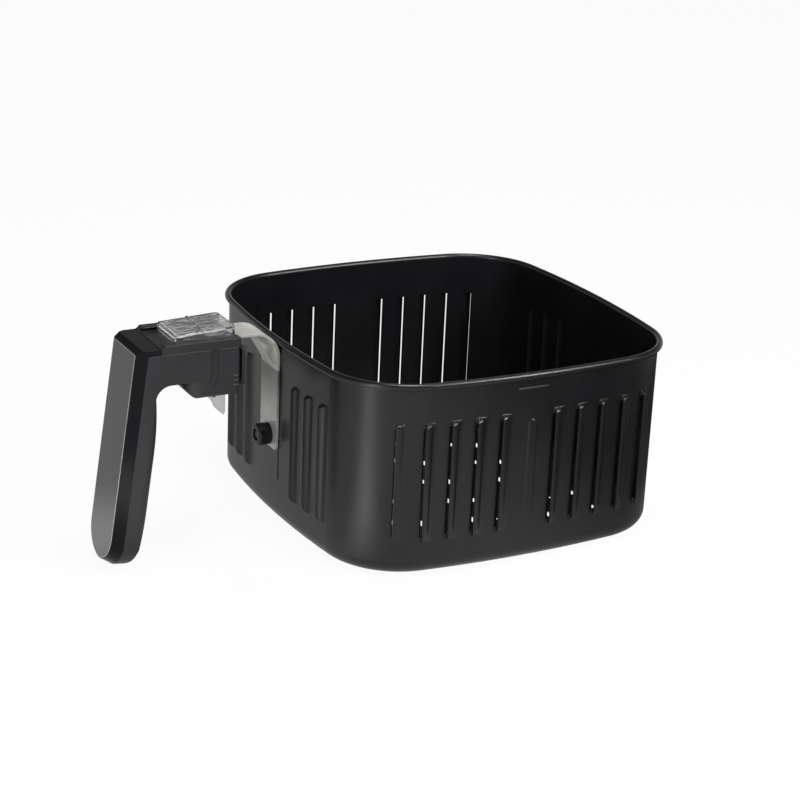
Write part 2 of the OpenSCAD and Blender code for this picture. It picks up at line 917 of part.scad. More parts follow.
// Charcoal moulding: boss, arm and the rear of the grip.
module handle_housing() {
    color([0.11, 0.11, 0.12])
        difference() {
            union() {
                difference() {
                    union() {
                        intersection() {
                            across_x(2 * arm_half)
                                boss_side();
                            translate([0, boss_front, 0])
                                along_y(boss_end - boss_front)
                                    boss_front_view();
                            translate([0, 0, boss_low])
                                linear_extrude(height = arm_low - boss_low + 1)
                                    boss_plan();
                        }
                        across_x(2 * arm_half)
                            arm_side();
                        grip_rear();
                        side_marks();
                    }
                    housing_hollow();
                    side_groove();
                    mirror([1, 0, 0])
                        side_groove();
                }
                housing_inside();
            }
            on_grip()
                translate([-2 * arm_half, -5 * bezel_depth, -2 * round_end])
                    cube([4 * arm_half, 6 * bezel_depth, 4 * round_end]);
            translate([-slot_half, slot_front, boss_low - 1])
                cube([2 * slot_half, boss_end - slot_front + 1, wall + 1 + eps]);
            translate([-slot_half, boss_end - 2 * wall, boss_low - 1])
                cube([2 * slot_half, 3 * wall, notch_high - boss_low + 1]);
            rod_x(pivot_y, pivot_z, pin_radius + eps, 4 * ear_low);
            translate([0, button_y, button_top - button_skirt - button_travel - gap])
                linear_extrude(height = seam_z - button_top + button_skirt + button_travel + 1)
                    oval(button_radius + button_flange + gap, button_run);
            for (side = [0, 1])
                mirror([side, 0, 0])
                    translate([arm_half - end_step_depth, boss_end - end_step, boss_low - 1])
                        cube([2 * end_step_depth, 2 * end_step, seam_z - boss_low + 2]);
            for (side = [-1, 1])
                screw_hole(side * plate_screw_x, plate_screw_y, boss_low, seam_z);
            screw_hole(0, cover_screw_y, arm_low, seam_z);
            on_grip()
                for (s = [grip_screw_high, grip_screw_low]) {
                    rod_y(-1, -s, 0, screw_shank + eps, 4 * bezel_depth);
                    rod_y(grip_depth - 5, -s, 0, screw_head + eps, 2 * bezel_depth);
                }
        }
}

// Upright screw hole with a counterbore below.
module screw_hole(x, y, low, high) {
    translate([x, y, low - 1])
        cylinder(r = screw_shank + eps, h = high - low + 2);
    translate([x, y, low - 1])
        cylinder(r = screw_head + eps, h = screw_head_rise + 2);
}

// Upright pan-head screw, head down.
module upright_screw(x, y, low, high) {
    seat = low + screw_head_rise + 1;
    recess = 0.7;
    color([0.6, 0.6, 0.6])
        difference() {
            union() {
                translate([x, y, seat - screw_head_rise])
                    cylinder(r1 = 0.8 * screw_head, r2 = screw_head, h = screw_head_rise);
                translate([x, y, seat - eps])
                    cylinder(r = screw_shank, h = high - seat);
            }
            for (turn = [0, 90])
                translate([x, y, seat - screw_head_rise])
                    rotate([0, 0, turn])
                        cube([2 * recess + screw_head * 0.6, recess, 2 * recess], center = true);
        }
}

module plate_screw_left() {
    upright_screw(-plate_screw_x, plate_screw_y, boss_low, plate_top);
}

module plate_screw_right() {
    upright_screw(plate_screw_x, plate_screw_y, boss_low, plate_top);
}

module cover_screw() {
    upright_screw(0, cover_screw_y, arm_low, deck_z - 1);
}

// Screw from the grip's back into the bezel.
module grip_screw(s) {
    seat = grip_depth - 5;
    recess = 0.7;
    color([0.6, 0.6, 0.6])
        on_grip()
            difference() {
                union() {
                    rod_y(3, -s, 0, screw_shank, seat - 3 + eps);
                    translate([0, seat, -s])
                        rotate([-90, 0, 0])
                            cylinder(r1 = screw_head, r2 = 0.8 * screw_head, h = screw_head_rise);
                }
                for (turn = [0, 90])
                    translate([0, seat + screw_head_rise, -s])
                        rotate([0, turn, 0])
                            cube([2 * recess + screw_head * 0.6, 2 * recess, recess], center = true);
            }
}

module grip_screw_upper() {
    grip_screw(grip_screw_high);
}

module grip_screw_lower() {
    grip_screw(grip_screw_low);
}

// Side view of one of the cover's rails, whose front end slopes.
module rail_side(low) {
    polygon([
        [rail_front + low - deck_z, low], [rail_front + rail_top - deck_z, rail_top],
        [boss_end, rail_top], [boss_end, low]
    ]);
}

// Cover of the arm: flat deck, side rails with lips and a pocket for the steel run.
module top_cover() {
    color([0.1, 0.1, 0.11])
        difference() {
            union() {
                translate([-arm_half, cover_front, seam_z])
                    cube([2 * arm_half, boss_end - cover_front, deck_z - seam_z]);
                for (side = [0, 1])
                    mirror([side, 0, 0]) {
                        translate([arm_half - rail / 2, 0, 0])
                            across_x(rail)
                                rail_side(deck_z - eps);
                        translate([arm_half - rail - lip_reach / 2, 0, 0])
                            across_x(lip_reach + eps)
                                rail_side(rail_top - lip_sheet);
                    }
            }
            translate([-strap_width / 2 - eps, plate_end - eps, plate_low - eps])
                cube([strap_width + 2 * eps, boss_end - plate_end + 1, strap + 2 * eps]);
            translate([0, button_y, seam_z - 1])
                linear_extrude(height = deck_z - seam_z + 2)
                    oval(button_radius + gap, button_run);
            for (side = [-1, 1])
                translate([side * plate_screw_x, plate_screw_y, seam_z - 1])
                    cylinder(r = screw_shank + eps, h = plate_top - seam_z + 1);
            translate([0, cover_screw_y, seam_z - 1])
                cylinder(r = screw_shank + eps, h = deck_z - seam_z);
            translate([0, deck_dish_y, deck_z + deck_dish_radius - deck_dish_depth])
                sphere(r = deck_dish_radius, $fn = 144);
        }
}

// Flat end piece that faces the pan's wall.
module end_flange() {
    flange_sheet = 1.7;
    inset = 2;
    color([0.12, 0.12, 0.13])
        union() {
            translate([-neck_half, boss_end, flange_low + inset])
                cube([2 * neck_half, flange_face - boss_end - flange_sheet / 2, flange_high - flange_low - 2 * inset]);
            translate([-flange_half, flange_face - flange_sheet, flange_low])
                cube([2 * flange_half, flange_sheet, flange_high - flange_low]);
        }
}

// Glossy frame of the grip's face with bevelled edges.
module grip_bezel() {
    color([0.02, 0.02, 0.022])
        difference() {
            union() {
                intersection() {
                    on_grip()
                        union() {
                            translate([0, 0, -round_end])
                                linear_extrude(height = round_end + 20)
                                    polygon([
                                        [-bezel_half, 0], [bezel_half, 0],
                                        [arm_half, bezel_depth], [-arm_half, bezel_depth]
                                    ]);
                            translate([0, 0, -round_end])
                                rotate([-90, 0, 0])
                                    cylinder(r1 = bezel_half, r2 = arm_half, h = bezel_depth, $fn = round_fine);
                        }
                    bezel_limits();
                }
                intersection() {
                    translate([-arm_half, face_y + bezel_depth + 1, seam_z])
                        cube([2 * arm_half, cover_front - face_y - bezel_depth - 1 - eps, bezel_top - seam_z]);
                    bezel_limits();
                }
            }
            on_grip() {
                translate([0, -1, 0])
                    along_y(inlay_sheet + 1 - gap)
                        round_ended(inlay_half + eps, 7.6, -round_end);
                for (s = [grip_screw_high, grip_screw_low])
                    rod_y(2.5, -s, 0, screw_shank + eps, bezel_depth);
            }
        }
}

// Space the bezel may fill: below its top face and its slanted front edge.
module bezel_limits() {
    across_x(4 * arm_half)
        polygon([
            [face_y - 40, -60], [cover_front + 10, -60], [cover_front + 10, bezel_top],
            [face_y + 4.5, bezel_top], [face_y + 1, bezel_top - 2.1], [face_y - 40, bezel_top - 2.1]
        ]);
}

// Metal plate let into the face.
module grip_inlay() {
    color([0.3, 0.29, 0.28])
        on_grip()
            translate([0, -gap, 0])
                along_y(inlay_sheet)
                    round_ended(inlay_half, 7.2, -round_end);
}

// ---------- guard, button and latch ----------

// Side view of the guard, or of its hollow when drawn in by a wall.
module guard_side(inset, low) {
    polygon([
        [guard_front + inset, low],
        [guard_front + inset, guard_low_top - 1 - inset],
        [guard_front + 1 + inset, guard_low_top - inset],
        [guard_back - 1 - inset, guard_high_top - inset],
        [guard_back - inset, guard_high_top - 1 - inset],
        [guard_back - inset, low]
    ]);
}

// Clear sliding cover over the button.
module button_guard() {
    bar = 1.2;
    roof_slope = (guard_high_top - guard_low_top) / (guard_back - guard_front);
    bar_top = guard_low_top + (finger_bar_y - guard_front) * roof_slope + finger_bar_rise;
    foot_start = guard_front + 8;
    foot_length = 20;
    edge = 4;
    color([0.85, 0.87, 0.9, 0.4])
        difference() {
            union() {
                intersection() {
                    across_x(2 * guard_half)
                        guard_side(0, guard_bottom);
                    translate([0, 0, guard_bottom])
                        linear_extrude(height = 20)
                            guard_plan(edge);
                }
                translate([0, finger_bar_y, 0])
                    across_x(2 * guard_half)
                        polygon([
                            [-bar, guard_low_top], [-bar / 3, bar_top],
                            [bar / 3, bar_top], [bar, guard_low_top]
                        ]);
                for (side = [0, 1])
                    mirror([side, 0, 0])
                        translate([guard_half - eps, foot_start, guard_bottom])
                            cube([foot_reach - guard_half + eps, foot_length, foot_sheet]);
            }
            across_x(2 * (guard_half - guard_wall))
                guard_side(guard_wall, guard_bottom - 1);
        }
}

// Plan of the guard with round corners at the end that faces the basket.
module guard_plan(edge) {
    translate([-guard_half, guard_front])
        square([2 * guard_half, guard_back - guard_front - edge]);
    translate([-guard_half + edge, guard_front])
        square([2 * (guard_half - edge), guard_back - guard_front]);
    for (side = [-1, 1])
        translate([side * (guard_half - edge), guard_back - edge])
            circle(r = edge);
}

// Oval push button with a dished top, a skirt, a flange and a stem.
module release_button() {
    under = button_top - button_sheet;
    skirt_low = button_top - button_skirt;
    dish = 30;
    color([0.04, 0.04, 0.045])
        translate([0, button_y, 0])
            difference() {
                union() {
                    translate([0, 0, skirt_low])
                        linear_extrude(height = button_skirt)
                            oval(button_radius, button_run);
                    translate([0, 0, skirt_low])
                        linear_extrude(height = seam_z - skirt_low - 0.2)
                            oval(button_radius + button_flange, button_run);
                    translate([-stem_half, stem_y - button_y, lever_top + stem_gap])
                        cube([2 * stem_half, stem_width, under - lever_top]);
                }
                translate([0, 0, skirt_low - 1])
                    linear_extrude(height = under - skirt_low + 1)
                        oval(button_radius - 2.1, button_run);
                translate([0, 0, button_top + dish - 0.7])
                    sphere(r = dish, $fn = 144);
            }
}

// Coil made of level half turns joined by leaning half turns.
module coil(mean, wire, pitch, turns) {
    lean = atan(pitch / (2 * mean));
    for (k = [0:turns - 1])
        translate([0, 0, k * pitch]) {
            rotate_extrude(angle = 180, $fn = 48)
                translate([mean, 0])
                    circle(r = wire, $fn = 16);
            translate([0, 0, pitch / 2])
                rotate([0, -lean, 0])
                    rotate_extrude(angle = 180, start = 180, $fn = 48)
                        translate([mean / cos(lean), 0])
                            circle(r = wire, $fn = 16);
            for (end = [0, 1])
                translate([(2 * end - 1) * mean, 0, end * pitch])
                    sphere(r = wire * 1.02, $fn = 16);
        }
}

// Coil spring under the button.
module button_spring() {
    free = button_top - button_sheet - seat_z - 2.1 * spring_wire;
    color([0.75, 0.75, 0.75])
        translate([0, button_y, seat_z + 1.05 * spring_wire])
            coil(spring_radius, spring_wire, free / spring_turns, spring_turns);
}

// Sloping steel of the hook seen from the side, a lever_drop thick.
module hook_slope() {
    polygon([
        [pivot_y + 0.5, hook_tip], [pivot_y - 1.3, hook_tip + 3.9],
        [pivot_y - hook_reach, hook_tip + hook_rise],
        [pivot_y - hook_reach, hook_tip + hook_rise + 1.9],
        [pivot_y - hook_reach + lever_drop, hook_tip + hook_rise + 1.9],
        [pivot_y - 0.5, hook_tip + 5.6]
    ]);
}

// Side view of the bent arm that the button pushes.
module lever_arm() {
    polygon([
        [lever_end, lever_top - lever_drop], [lever_end, lever_top],
        [pivot_y - arm_bend, lever_top - 0.6], [pivot_y - arm_bend, lever_top - 0.6 - lever_drop]
    ]);
}

// Side view of one cheek: arm, eye, upright and hook.
module latch_side() {
    translate([pivot_y, pivot_z])
        circle(r = eye_radius);
    lever_arm();
    polygon([
        [pivot_y - arm_bend - eps, lever_top - 0.6 - lever_drop],
        [pivot_y - arm_bend - eps, lever_top - 0.6],
        [pivot_y, pivot_z + eye_radius], [pivot_y + cheek_back, pivot_z],
        [pivot_y + cheek_back, boss_low + wall + arm_bend],
        [pivot_y + hook_back, boss_low], [pivot_y + hook_back, hook_tip + 2],
        [pivot_y + 0.5, hook_tip], [pivot_y - 1.3, hook_tip + 3.9],
        [pivot_y - hook_reach, hook_tip + hook_rise],
        [pivot_y - hook_reach, hook_tip + hook_rise + 1.9],
        [pivot_y - cheek_front, hook_tip + hook_rise + 1.9],
        [pivot_y - cheek_front, pivot_z - eye_radius]
    ]);
}

// Folded steel lever: two cheeks joined by the arm, a middle web and the hook's slope.
module latch_lever() {
    color([0.8, 0.8, 0.82])
        difference() {
            union() {
                for (side = [-1, 1])
                    translate([side * (latch_half - latch_sheet / 2), 0, 0])
                        across_x(latch_sheet)
                            latch_side();
                across_x(2 * latch_half)
                    union() {
                        lever_arm();
                        translate([pivot_y - cheek_front, web_low])
                            square([cheek_front - coil_mean - coil_wire - run_gap, web_high - web_low]);
                        hook_slope();
                    }
            }
            rod_x(pivot_y, pivot_z, pin_radius + run_gap, 3 * latch_half);
        }
}

// Steel pin the latch turns on.
module latch_pin() {
    color([0.7, 0.7, 0.7])
        rod_x(pivot_y, pivot_z, pin_radius, 2 * (ear_low + ear_sheet));
}

// Torsion spring on the pin with two legs.
module latch_spring() {
    leg_low = web_low + 2;
    color([0.75, 0.75, 0.75])
        union() {
            translate([-coil_pitch * coil_turns / 2, pivot_y, pivot_z])
                rotate([0, 90, 0])
                    rotate([0, 0, 90])
                        coil(coil_mean, coil_wire, coil_pitch, coil_turns);
            rod_y(pivot_y, pivot_z + coil_mean, coil_pitch * coil_turns / 2 - 0.5, coil_wire, 2.4);
            translate([-coil_pitch * coil_turns / 2 + 0.2, pivot_y - coil_mean, leg_low])
                cylinder(r = coil_wire, h = pivot_z - leg_low);
        }
}

basket_shell();
bracket();
bracket_stud_upper();
bracket_stud_lower();
bumper();
bumper_rivet();
handle_housing();
top_cover();
end_flange();
grip_bezel();
grip_inlay();
plate_screw_left();
plate_screw_right();
cover_screw();
grip_screw_upper();
grip_screw_lower();
button_guard();
release_button();
button_spring();
latch_lever();
latch_pin();
latch_spring();
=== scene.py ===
# %% [markdown]
# # A frying basket with its handle
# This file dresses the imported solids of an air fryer's basket: a drawn and coated steel basket,
# a steel strap, and a plastic handle with a sliding clear guard, a button and a latch.
# The solids are already right in size and place, so the work here is finish, light and small
# trim. Every finish is made of nodes that read the surface's own coordinates in metres, so a
# grain that is half a millimetre wide on the real thing is half a millimetre wide here.

import math

import bmesh
import bpy
from mathutils import Matrix, Vector


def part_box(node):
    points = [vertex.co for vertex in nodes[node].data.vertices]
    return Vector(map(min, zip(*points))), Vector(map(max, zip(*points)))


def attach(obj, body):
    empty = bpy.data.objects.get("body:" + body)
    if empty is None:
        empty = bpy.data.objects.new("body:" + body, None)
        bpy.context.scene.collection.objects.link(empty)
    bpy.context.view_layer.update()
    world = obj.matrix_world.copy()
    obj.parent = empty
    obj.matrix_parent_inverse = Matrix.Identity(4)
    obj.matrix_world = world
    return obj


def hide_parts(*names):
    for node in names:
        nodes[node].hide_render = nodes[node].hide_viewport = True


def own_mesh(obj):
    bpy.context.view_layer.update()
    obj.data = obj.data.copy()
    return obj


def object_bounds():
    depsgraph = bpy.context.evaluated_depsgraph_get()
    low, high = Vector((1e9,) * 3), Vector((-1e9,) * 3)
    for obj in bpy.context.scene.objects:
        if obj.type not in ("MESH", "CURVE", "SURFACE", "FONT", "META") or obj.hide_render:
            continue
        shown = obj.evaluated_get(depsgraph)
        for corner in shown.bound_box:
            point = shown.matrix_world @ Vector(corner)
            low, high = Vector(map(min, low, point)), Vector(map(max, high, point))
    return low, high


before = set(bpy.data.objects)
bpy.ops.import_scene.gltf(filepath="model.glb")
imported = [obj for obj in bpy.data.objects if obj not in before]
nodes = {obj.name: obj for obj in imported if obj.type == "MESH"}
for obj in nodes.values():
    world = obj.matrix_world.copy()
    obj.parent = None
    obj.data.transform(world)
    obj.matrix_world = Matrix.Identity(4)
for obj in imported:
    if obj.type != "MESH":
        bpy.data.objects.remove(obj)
cad_box = [list(corner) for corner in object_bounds()]
MM = 0.001
print(len(nodes), "solids, from", cad_box[0], "to", cad_box[1])


# %% [markdown]
# ## The basket's non-stick coat: a plain start
# The basket is drawn from steel sheet, pierced, and sprayed with a black non-stick coat that is
# baked on. One even black would do for a sketch, but it looks like plastic, and a picture of a
# real coat would need a file and unwrapped walls. So the coat, like every finish here, starts
# from one Principled shader, and its unevenness comes from noise in the cells after this one.

# %% One shader for each finish
def feed(owner, value, socket):
    """Links a node's output to a socket, or sets a fixed number, vector or colour there."""
    if isinstance(value, bpy.types.NodeSocket):
        owner.node_tree.links.new(value, socket)
    elif socket.type == "RGBA":
        socket.default_value = (*value, 1.0)
    else:
        socket.default_value = value


def set_shader(finish, name, value):
    """Feeds one input of the finish's own shader."""
    feed(finish, value, finish.node_tree.nodes["Principled BSDF"].inputs[name])


def new_finish(name, colour, roughness, metallic=0.0):
    """A material with one Principled shader, shown in the same colour in the viewport."""
    finish = bpy.data.materials.new(name)
    finish.use_nodes = True
    finish.diffuse_color = (*colour, 1.0)
    set_shader(finish, "Base Color", colour)
    set_shader(finish, "Roughness", roughness)
    set_shader(finish, "Metallic", metallic)
    return finish


coat = new_finish("basket_coat", colour=(0.0050, 0.0051, 0.0062), roughness=0.3)
print(coat.name, "starts with", len(coat.node_tree.nodes), "nodes")


# %% [markdown]
# ## The coat's grain
# Baking leaves a satin film with a very fine orange peel, and a slow unevenness where the spray
# was thin. Both are noise, one with cells of half a millimetre and one of some centimetres. The
# noise is three-dimensional and reads places in metres, so it runs round corners without a seam.

# %% Noise of a real width
def add(owner, kind):
    """A new node in the tree of a finish or of the world."""
    return owner.node_tree.nodes.new(kind)


def point(owner, source="Object"):
    """The place of each shaded point; Object means metres from the origin."""
    return add(owner, "ShaderNodeTexCoord").outputs[source]


def grain(finish, per_mm, stretch=(1, 1, 1), detail=2.0):
    """Noise whose cells are 1 / per_mm millimetres wide, longer along the stretched axes."""
    mapping = add(finish, "ShaderNodeMapping")
    feed(finish, point(finish), mapping.inputs["Vector"])
    feed(finish, [per_mm / MM / longer for longer in stretch], mapping.inputs["Scale"])
    noise = add(finish, "ShaderNodeTexNoise")
    feed(finish, mapping.outputs["Vector"], noise.inputs["Vector"])
    feed(finish, 1.0, noise.inputs["Scale"])
    feed(finish, detail, noise.inputs["Detail"])
    return noise.outputs["Fac"]


PEEL_PER_MM = 2.2
SPRAY_PER_MM = 0.03
peel = grain(coat, PEEL_PER_MM)
spray = grain(coat, SPRAY_PER_MM, detail=3)
print("peel", round(1 / PEEL_PER_MM, 2), "mm wide, spray", round(1 / SPRAY_PER_MM), "mm wide")


# %% [markdown]
# ## The coat's colour and gloss
# Where the spray is thin, the black is a shade lighter and drier. The slow noise drives both, so
# they change together. The gloss that wanders a little is what keeps the broad highlights of the
# walls from looking like moulded plastic.

# %% From noise to colour and roughness
NOISE_LOW = 0.3
NOISE_HIGH = 0.7


def ramp(owner, value, start, end, at_start, at_end):
    """A straight ramp of a value, level before its start and after its end."""
    node = add(owner, "ShaderNodeMapRange")
    feed(owner, value, node.inputs["Value"])
    feed(owner, start, node.inputs["From Min"])
    feed(owner, end, node.inputs["From Max"])
    feed(owner, at_start, node.inputs["To Min"])
    feed(owner, at_end, node.inputs["To Max"])
    return node.outputs["Result"]


def spread(finish, noise, low, high):
    """Maps a noise to a range; nearly all of a noise lies between NOISE_LOW and NOISE_HIGH."""
    return ramp(finish, noise, NOISE_LOW, NOISE_HIGH, low, high)


def blend(finish, share, first, second, mode="MIX"):
    """Goes from one colour to another; each is a fixed colour or a node's output."""
    node = add(finish, "ShaderNodeMix")
    node.data_type = "RGBA"
    node.blend_type = mode
    feed(finish, share, node.inputs["Factor"])
    feed(finish, first, node.inputs["A"])
    feed(finish, second, node.inputs["B"])
    return node.outputs["Result"]


COAT_THICK = (0.0043, 0.0044, 0.0054)
COAT_THIN = (0.0062, 0.0063, 0.0076)
set_shader(coat, "Base Color", blend(coat, spread(coat, spray, low=0, high=1), COAT_THICK, COAT_THIN))
set_shader(coat, "Roughness", spread(coat, spray, low=0.27, high=0.34))
print(coat.name, "has", len(coat.node_tree.nodes), "nodes")


# %% [markdown]
# ## The coat's relief
# The peel is a few thousandths of a millimetre deep. Modelling it would take millions of faces,
# and bump does as well at that depth. The Bevel node also softens the folds between faces, as
# the drawing press leaves them, and it needs no change of the solid's mesh.

# %% Bump and rounded edges
BEVEL_SAMPLES = 6


def round_edges(finish, radius_mm, samples=BEVEL_SAMPLES):
    """The surface's normal, with edges rounded by a real radius."""
    edge = add(finish, "ShaderNodeBevel")
    edge.samples = samples
    feed(finish, radius_mm * MM, edge.inputs["Radius"])
    return edge.outputs["Normal"]


def relief(finish, height, depth_mm, edge_mm=0.0):
    """Bump of a real depth, over rounded edges where edge_mm is given."""
    bump = add(finish, "ShaderNodeBump")
    feed(finish, 1.0, bump.inputs["Strength"])
    feed(finish, depth_mm * MM, bump.inputs["Distance"])
    feed(finish, height, bump.inputs["Height"])
    if edge_mm:
        feed(finish, round_edges(finish, edge_mm), bump.inputs["Normal"])
    set_shader(finish, "Normal", bump.outputs["Normal"])


def dress(finish, *names):
    """Gives solids a finish."""
    for name in names:
        mesh = nodes[name].data
        mesh.materials.clear()
        mesh.materials.append(finish)
    print(finish.name, "on", ", ".join(names))


relief(coat, peel, depth_mm=0.006, edge_mm=1.3)
dress(coat, "basket_shell")

# %% [markdown]
# ## The strap's brushed steel
# The strap is blanked from stainless sheet whose mill brushing runs along the strip, and then
# tumbled, so it scatters light nearly as a pale matt surface does: about a third of it is set as
# metal. A full metal with high roughness was the other way, but it goes dark wherever it mirrors
# dark surroundings. Long thin noise gives the brushing, as bump and as a changing roughness.

# %% Brushed strip
strip_steel = new_finish("bracket_stainless", colour=(0.5, 0.49, 0.455), roughness=0.34, metallic=0.35)
brush = grain(strip_steel, per_mm=9, stretch=(1, 60, 60), detail=3)
cloud = grain(strip_steel, per_mm=0.08)
set_shader(strip_steel, "Roughness", spread(strip_steel, brush, low=0.24, high=0.38))
relief(strip_steel, brush, depth_mm=0.004, edge_mm=0.25)
dress(strip_steel, "bracket")


# %% [markdown]
# ## Painted shade on the strap
# The upper part of the strap's leg lies in the shade of the handle's boss above it. That shade
# is painted into the steel's colour, up to the bend's dart, where it ends quite sharply. A second
# material would show a hard line, so the painted shade is a colour that multiplies the steel's
# own, by a share that depends on the height: it grows over the strap's middle and stops under the
# dart.

# %% Painted shade by height
def along(owner, place, axis):
    """How far a place lies along one axis."""
    split = add(owner, "ShaderNodeSeparateXYZ")
    feed(owner, place, split.inputs["Vector"])
    return split.outputs[axis]


def combine(owner, operation, first, second):
    """One sum on two values; each is a fixed number or a node's output."""
    step = add(owner, "ShaderNodeMath")
    step.operation = operation
    feed(owner, first, step.inputs[0])
    feed(owner, second, step.inputs[1])
    return step.outputs["Value"]


# Heights and colour of the painted shade on the strap's leg: it grows between the first two heights
# and stops under the dart.
SHADE_START = 62 * MM
SHADE_FULL = 86 * MM
DART_LOW = 91.7 * MM
SHADE_EDGE = 1 * MM
PAINTED_SHADE_COLOUR = (0.32, 0.32, 0.30)
STEEL_DARK = (0.44, 0.43, 0.40)
STEEL_LIGHT = (0.58, 0.57, 0.53)
height = along(strip_steel, point(strip_steel), "Z")
shade_grown = ramp(strip_steel, height, SHADE_START, SHADE_FULL, at_start=0, at_end=1)
under_dart = ramp(strip_steel, height, DART_LOW - SHADE_EDGE, DART_LOW, at_start=1, at_end=0)
painted_shade = combine(strip_steel, "MULTIPLY", shade_grown, under_dart)
unshaded_steel = blend(strip_steel, spread(strip_steel, cloud, low=0, high=1), STEEL_DARK, STEEL_LIGHT)
# The painted shade multiplies the steel's colour, darkening the leg where the boss shades it.
set_shader(strip_steel, "Base Color", blend(strip_steel, painted_shade, unshaded_steel, PAINTED_SHADE_COLOUR, "MULTIPLY"))
print("film grows from", SHADE_START, "to", SHADE_FULL, "m and ends at", DART_LOW, "m")


# %% [markdown]
# ## From rings of points to a mesh
# Two small pieces are made here rather than in the solids: a skin over the strap's bend, and a
# spring. Both are a section that is carried along a path, so both are rings of points, each ring
# joined to the next. A curve with a bevel could do it too, but rings that are written out keep
# square corners square and need few faces. Both take their place from a solid, and the strap is
# measured first.

# %% Rings, and the strap's corner
def close_tube(surface, rings, smooth=False):
    """Joins each ring of points to the next one, and closes both ends."""
    for first, second in zip(rings, rings[1:]):
        for side in range(len(first)):
            after = (side + 1) % len(first)
            face = surface.faces.new((first[side], first[after], second[after], second[side]))
            face.smooth = smooth
    surface.faces.new(reversed(rings[0]))
    surface.faces.new(rings[-1])
    bmesh.ops.recalc_face_normals(surface, faces=surface.faces)


def new_object(name, surface):
    """Makes a finished surface an object of the scene."""
    mesh = bpy.data.meshes.new(name)
    surface.to_mesh(mesh)
    surface.free()
    made = bpy.data.objects.new(name, mesh)
    bpy.context.scene.collection.objects.link(made)
    return made


STRAP_THICK = 1.4 * MM
BEND_INSIDE = 14 * MM
BEND_OUTSIDE = BEND_INSIDE + STRAP_THICK
strap_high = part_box("bracket")[1]
bend_y = strap_high[1] - BEND_OUTSIDE
bend_z = strap_high[2] - BEND_OUTSIDE
print("the strap bends about y", round(bend_y, 4), "z", round(bend_z, 4))


# %% [markdown]
# ## The skin over the strap's bend
# The dart that stiffens the bend leaves a pocket in its outer side. A thin curved skin, let into
# the pocket's mouth and nearly flush with the sheet, closes it, so the bend runs round in one
# smooth surface. A cylinder cut to size would do, but a short arc about the bend's own axis,
# swept across the strap, has only the faces it needs.

# %% Bend skin
def arc_strip(name, axis_y, axis_z, radius, thick, half_width, start, end, steps=24):
    """A curved strip about an axis along X; angles run from straight up towards the basket."""
    outline = ((radius, -half_width), (radius, half_width),
               (radius - thick, half_width), (radius - thick, -half_width))
    strip = bmesh.new()
    rings = []
    for step in range(steps + 1):
        angle = math.radians(start + (end - start) * step / steps)
        ring = []
        for reach, x in outline:
            y = axis_y + reach * math.sin(angle)
            z = axis_z + reach * math.cos(angle)
            ring.append(strip.verts.new((x, y, z)))
        rings.append(ring)
    close_tube(strip, rings)
    return new_object(name, strip)


SKIN_HALF = 6.85 * MM
SKIN_THICK = 0.4 * MM
SKIN_SUNK = 0.02 * MM
SKIN_FROM_DEGREES = 6
SKIN_TO_DEGREES = 84
skin = arc_strip("bend_skin", bend_y, bend_z, BEND_OUTSIDE - SKIN_SUNK, SKIN_THICK, SKIN_HALF,
                 SKIN_FROM_DEGREES, SKIN_TO_DEGREES)
skin.data.materials.append(strip_steel)
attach(skin, "basket")
print("bend skin is", round(2 * SKIN_HALF / MM, 1), "mm wide and", SKIN_THICK / MM, "mm thick")

# %% [markdown]
# ## Plated fasteners
# Studs, screws and the latch's pin are turned or headed from wire and plated. They are smoother
# than the strap and faintly mottled, so they are full metal with a small cloudy noise. One
# finish serves them all, as one plating bath does.

# %% Studs, screws and pin
plated = new_finish("plated_fasteners", colour=(0.56, 0.56, 0.55), roughness=0.34, metallic=1.0)
mottle = grain(plated, per_mm=0.6, detail=3)
set_shader(plated, "Roughness", spread(plated, mottle, low=0.26, high=0.42))
relief(plated, mottle, depth_mm=0.01, edge_mm=0.15)
dress(plated, "bracket_stud_upper", "bracket_stud_lower", "plate_screw_left",
      "plate_screw_right", "cover_screw", "grip_screw_upper", "grip_screw_lower", "latch_pin")

# %% [markdown]
# ## The bumper's rivet
# The rivet that holds the rubber bumper is blackened in a hot bath, so it doesn't shine out of
# the rubber. The oxide is a dark metal, rougher than plating, and not a paint: a dark base with
# full metal keeps its faint edge highlights.

# %% Blackened rivet
blackened = new_finish("blackened_rivet", colour=(0.07, 0.07, 0.072), roughness=0.4, metallic=1.0)
oxide = grain(blackened, per_mm=0.9, detail=3)
set_shader(blackened, "Roughness", spread(blackened, oxide, low=0.34, high=0.48))
relief(blackened, oxide, depth_mm=0.008, edge_mm=0.2)
dress(blackened, "bumper_rivet")

# %% [markdown]
# ## The latch lever
# The lever with its hook is pressed from bright cold-rolled strip. Rolling leaves very fine
# lines, here along X, so the noise is stretched that way. A paler base and a lower roughness
# than the strap's make it look bright beside it.

# %% Bright pressed lever
latch_steel = new_finish("latch_bright_steel", colour=(0.72, 0.72, 0.72), roughness=0.22, metallic=1.0)
rolled = grain(latch_steel, per_mm=6, stretch=(30, 1, 1))
set_shader(latch_steel, "Roughness", spread(latch_steel, rolled, low=0.17, high=0.3))
relief(latch_steel, rolled, depth_mm=0.003, edge_mm=0.2)
dress(latch_steel, "latch_lever")

# %% [markdown]
# ## Spring wire
# Springs are coiled from drawn wire, the shiniest metal of all. The wire is so thin that fine
# lines wouldn't show, so a small even noise only breaks its gloss a little.

# %% Drawn wire
spring_wire = new_finish("spring_wire", colour=(0.66, 0.66, 0.67), roughness=0.2, metallic=1.0)
drawn = grain(spring_wire, per_mm=3)
set_shader(spring_wire, "Roughness", spread(spring_wire, drawn, low=0.14, high=0.28))
relief(spring_wire, drawn, depth_mm=0.003)
dress(spring_wire, "button_spring", "latch_spring")
